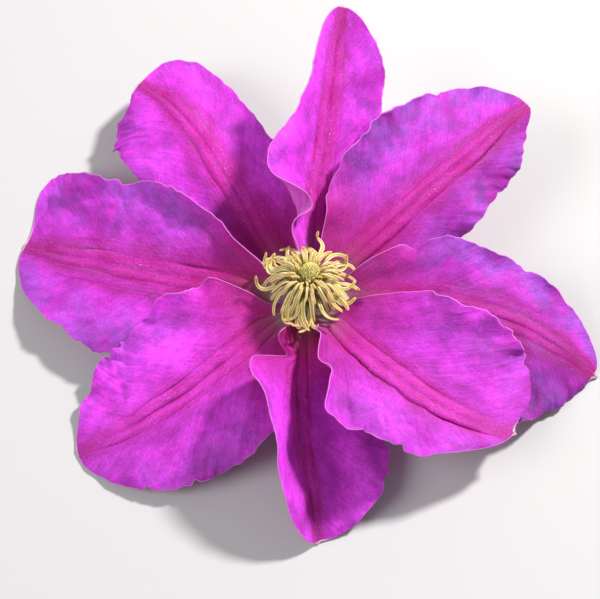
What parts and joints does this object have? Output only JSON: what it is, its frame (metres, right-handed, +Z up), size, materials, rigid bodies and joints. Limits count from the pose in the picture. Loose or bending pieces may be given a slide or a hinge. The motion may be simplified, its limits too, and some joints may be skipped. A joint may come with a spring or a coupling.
{
  "type": "clematis flower",
  "caption": "Large-flowered clematis blossom as picked, lying face up: magenta tepals with crimson bars round a boss of cream stamens on a short cut stalk.",
  "frame": {"origin": "on the resting surface, under the middle of the flower's bounding box", "axes": "+Z up, out of the open face of the flower; -Y towards the front tepal; +X to the right"},
  "size_m": [0.1656, 0.1506, 0.0466],
  "materials": {
    "tepal": "soft satin petal with fine long veins",
    "stamen": "matte, powdery",
    "style": "matte, silky",
    "stalk": "satin green stem"
  },
  "bodies": {
    "root": {"tepal_back": "tepal", "tepal_back_right": "tepal", "tepal_right": "tepal", "tepal_front_right": "tepal", "tepal_front": "tepal", "tepal_front_left": "tepal", "tepal_left": "tepal", "tepal_back_left": "tepal", "stamen_01": "stamen", "stamen_02": "stamen", "stamen_03": "stamen", "stamen_04": "stamen", "stamen_05": "stamen", "stamen_06": "stamen", "stamen_07": "stamen", "stamen_08": "stamen", "stamen_09": "stamen", "stamen_10": "stamen", "stamen_11": "stamen", "stamen_12": "stamen", "stamen_13": "stamen", "stamen_14": "stamen", "stamen_15": "stamen", "stamen_16": "stamen", "stamen_17": "stamen", "stamen_18": "stamen", "stamen_19": "stamen", "stamen_20": "stamen", "stamen_21": "stamen", "stamen_22": "stamen", "stamen_23": "stamen", "stamen_24": "stamen", "stamen_25": "stamen", "stamen_26": "stamen", "stamen_27": "stamen", "stamen_28": "stamen", "stamen_29": "stamen", "stamen_30": "stamen", "stamen_31": "stamen", "stamen_32": "stamen", "stamen_33": "stamen", "stamen_34": "stamen", "stamen_35": "stamen", "stamen_36": "stamen", "stamen_37": "stamen", "stamen_38": "stamen", "stamen_39": "stamen", "stamen_40": "stamen", "stamen_41": "stamen", "stamen_42": "stamen", "stamen_43": "stamen", "stamen_44": "stamen", "stamen_45": "stamen", "stamen_46": "stamen", "stamen_47": "stamen", "stamen_48": "stamen", "styles": "style", "receptacle": "stalk", "stalk": "stalk"}
  },
  "joints": []
}
